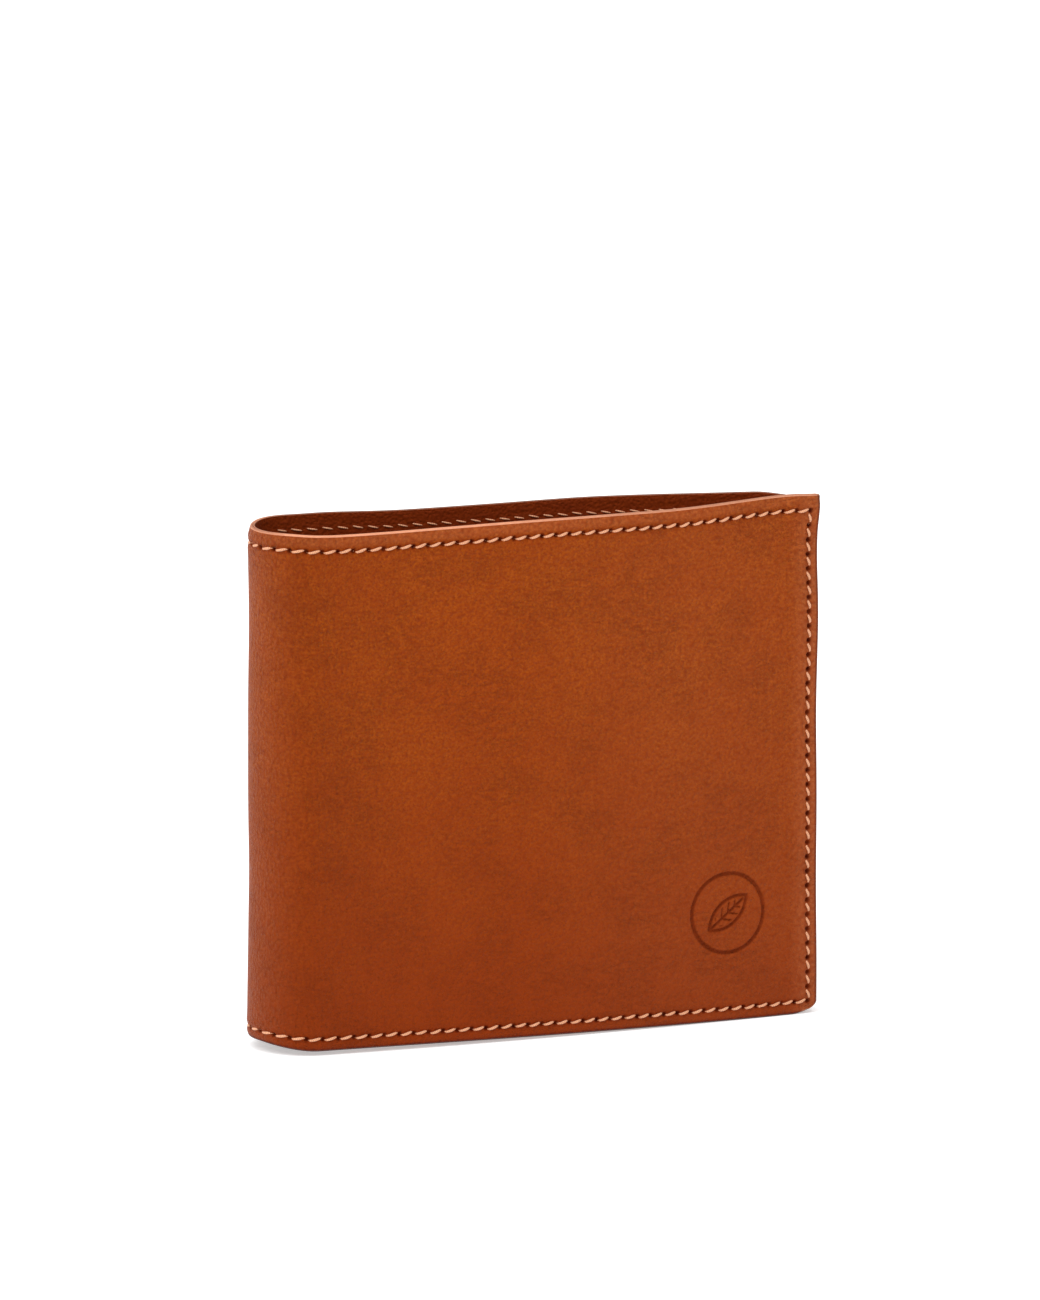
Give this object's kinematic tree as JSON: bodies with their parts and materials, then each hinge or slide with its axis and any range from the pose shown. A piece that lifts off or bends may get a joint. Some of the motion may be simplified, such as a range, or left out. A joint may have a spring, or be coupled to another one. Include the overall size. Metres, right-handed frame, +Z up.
{
  "type": "bifold wallet",
  "caption": "Leather bifold wallet standing closed on its edge: one stitched cover round a fold, a full-width bill compartment and stepped card pockets in both halves.",
  "frame": {"origin": "centre of the closed wallet's footprint, at the bottom edge it stands on", "axes": "+X from the fold to the open edge, +Y through the back half, +Z up along the fold"},
  "size_m": [0.1081, 0.0208, 0.0955],
  "materials": {
    "cover_leather": "satin vegetable-tanned leather, caramel brown",
    "lining_leather": "matt thin leather, brown",
    "pocket_leather": "satin leather, caramel brown",
    "thread": "waxed thread, pale tan"
  },
  "bodies": {
    "back_half": {"back_cover": "cover_leather", "back_lining": "lining_leather", "back_divider": "lining_leather", "back_pocket_backing": "pocket_leather", "back_card_pocket_1": "pocket_leather", "back_card_pocket_2": "pocket_leather", "back_card_pocket_3": "pocket_leather", "back_card_pocket_4": "pocket_leather", "back_edge_thread": "thread", "back_pocket_thread": "thread"},
    "front_half": {"front_cover": "cover_leather", "front_lining": "lining_leather", "front_divider": "lining_leather", "front_pocket_backing": "pocket_leather", "front_card_pocket_1": "pocket_leather", "front_card_pocket_2": "pocket_leather", "front_card_pocket_3": "pocket_leather", "front_card_pocket_4": "pocket_leather", "front_edge_thread": "thread", "front_pocket_thread": "thread"},
    "spine": {"spine_cover": "cover_leather", "spine_lining": "lining_leather", "spine_divider": "lining_leather", "spine_edge_thread": "thread"}
  },
  "joints": [
    {"name": "fold_back", "type": "hinge", "parent": "back_half", "child": "spine", "pos_m": [-0.05098, 0.00728, 0.04775], "axis": [0, 0, -1], "range_deg": [0, 90]},
    {"name": "fold_front", "type": "hinge", "parent": "spine", "child": "front_half", "pos_m": [-0.05098, -0.00728, 0.04775], "axis": [0, 0, -1], "range_deg": [0, 90]}
  ],
  "couplings": [
    {"joint": "fold_front", "follows": "fold_back", "ratio": 1}
  ]
}
